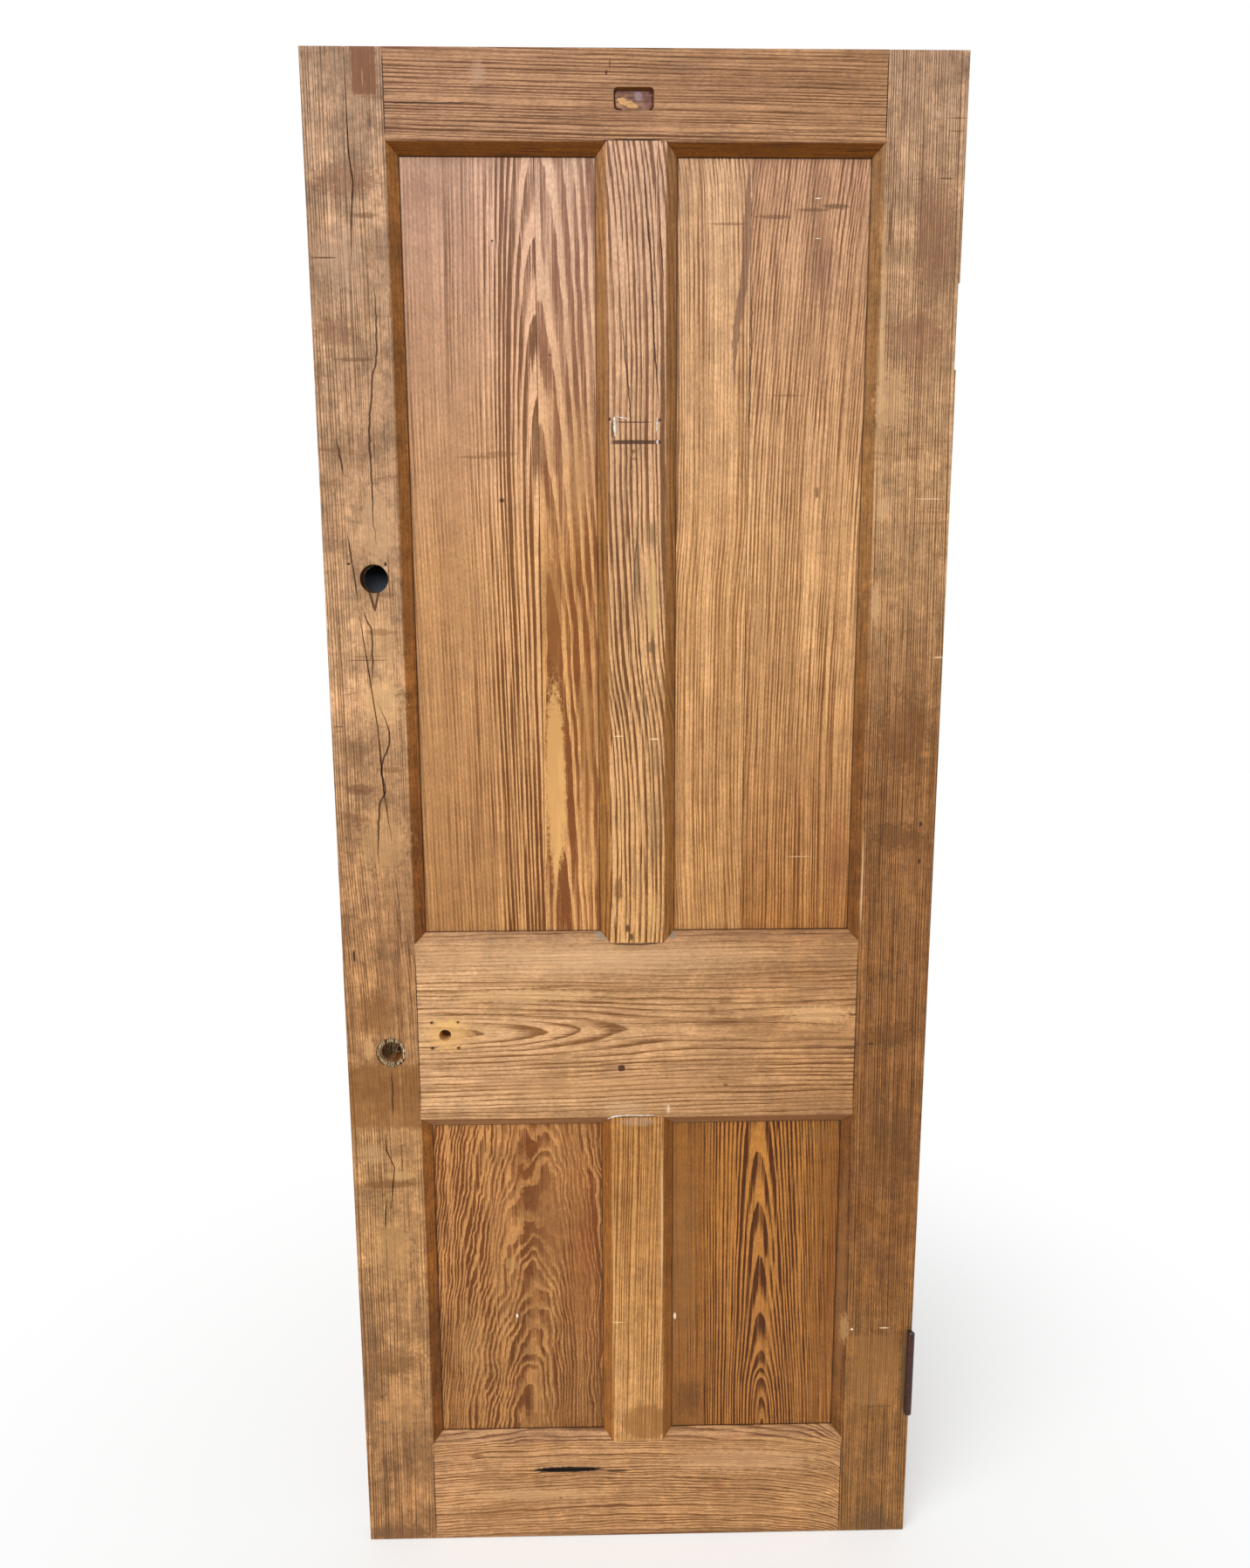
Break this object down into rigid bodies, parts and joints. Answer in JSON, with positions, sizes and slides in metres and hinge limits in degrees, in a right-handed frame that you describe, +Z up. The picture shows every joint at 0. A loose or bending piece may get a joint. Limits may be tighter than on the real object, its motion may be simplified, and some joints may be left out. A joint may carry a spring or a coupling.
{
  "type": "internal door leaf",
  "caption": "Solid timber internal door leaf: chamfered stiles, rails and muntins round flat panels, old lock holes, and a butt hinge whose free leaf turns.",
  "frame": {"origin": "middle of the bottom edge, half way through the thickness of the framing", "axes": "+Z up the leaf, +X towards the hanging stile and its hinge, +Y away from the face with the knuckle"},
  "size_m": [0.7823, 0.0465, 1.981],
  "materials": {
    "stile_pine": "stripped pine, dull wax",
    "rail_pine": "stripped pine, dull wax",
    "panel_pine": "stripped pine, dull wax",
    "wedge_pine": "end grain, bare",
    "hinge_iron": "old rusted paint",
    "hinge_steel": "dull, worn"
  },
  "bodies": {
    "door": {"lock_stile": "stile_pine", "hanging_stile": "stile_pine", "top_rail": "rail_pine", "lock_rail": "rail_pine", "bottom_rail": "rail_pine", "upper_muntin": "stile_pine", "lower_muntin": "stile_pine", "upper_left_outer_board": "panel_pine", "upper_left_inner_board": "panel_pine", "upper_right_inner_board": "panel_pine", "upper_right_outer_board": "panel_pine", "lower_left_panel": "panel_pine", "lower_right_panel": "panel_pine", "top_rail_wedges": "wedge_pine", "lock_rail_wedges": "wedge_pine", "bottom_rail_wedges": "wedge_pine", "hinge_door_leaf": "hinge_iron", "hinge_pin": "hinge_steel", "hinge_screws": "hinge_steel"},
    "frame_leaf": {"hinge_frame_leaf": "hinge_iron"}
  },
  "joints": [
    {"name": "hinge_turn", "type": "hinge", "parent": "door", "child": "frame_leaf", "pos_m": [0.3872, -0.0234, 0.2615], "axis": [0, 0, -1], "range_deg": [0, 270]}
  ]
}
